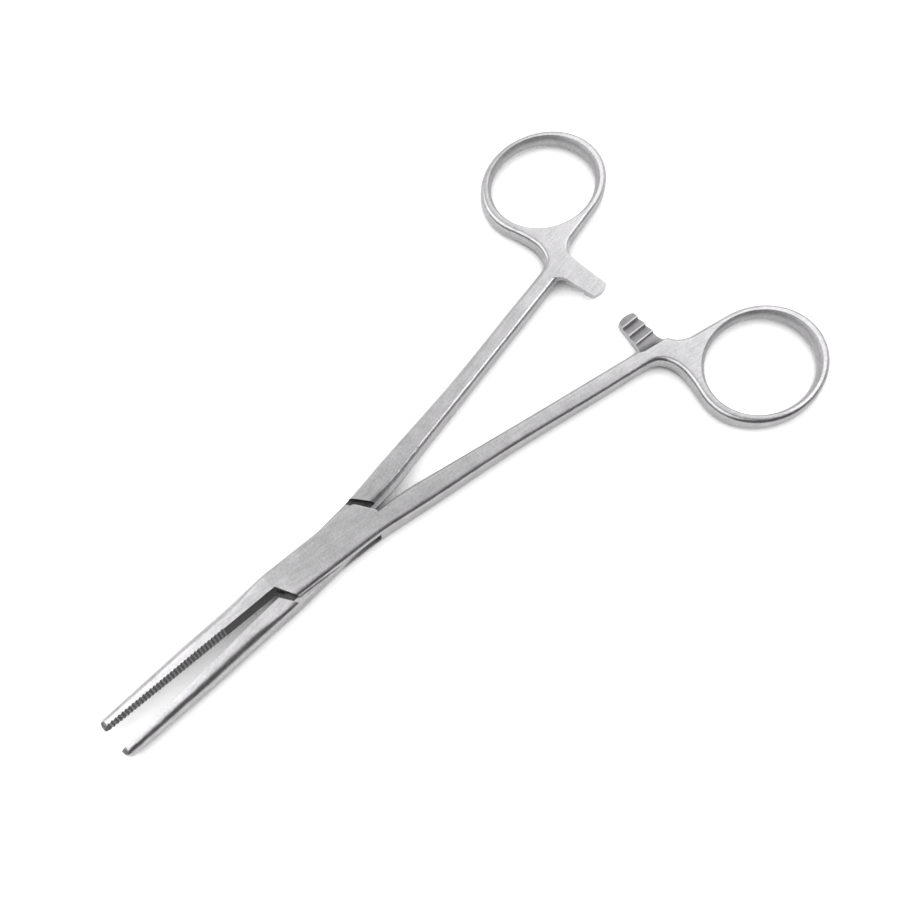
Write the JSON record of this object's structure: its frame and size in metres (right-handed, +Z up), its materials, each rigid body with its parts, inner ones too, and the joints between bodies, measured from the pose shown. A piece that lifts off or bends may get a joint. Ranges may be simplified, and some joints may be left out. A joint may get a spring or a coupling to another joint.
{
  "type": "hemostat forceps",
  "caption": "Ring-handled locking forceps with a box joint, crossed ratchet bars and straight, cross-serrated, half-round jaws, shown slightly open.",
  "frame": {"origin": "on the pivot axis, at the flat underside of the box joint", "axes": "+X from the pivot towards the jaw tips, +Z up along the pivot axis, the forceps lying flat and opened to the angle of the picture with one finger ring on each side of X"},
  "size_m": [0.1581, 0.0882, 0.0048],
  "materials": {
    "satin_steel": "satin ground stainless steel with finely brushed faces and brighter rounded edges"
  },
  "bodies": {
    "box_side": {"box_half": "satin_steel", "pivot_pin": "satin_steel"},
    "tongue_side": {"tongue_half": "satin_steel"}
  },
  "joints": [
    {"name": "pivot", "type": "hinge", "parent": "box_side", "child": "tongue_side", "pos_m": [0, 0, 0], "axis": [0, 0, 1], "range_deg": [-5.75, 40]}
  ]
}
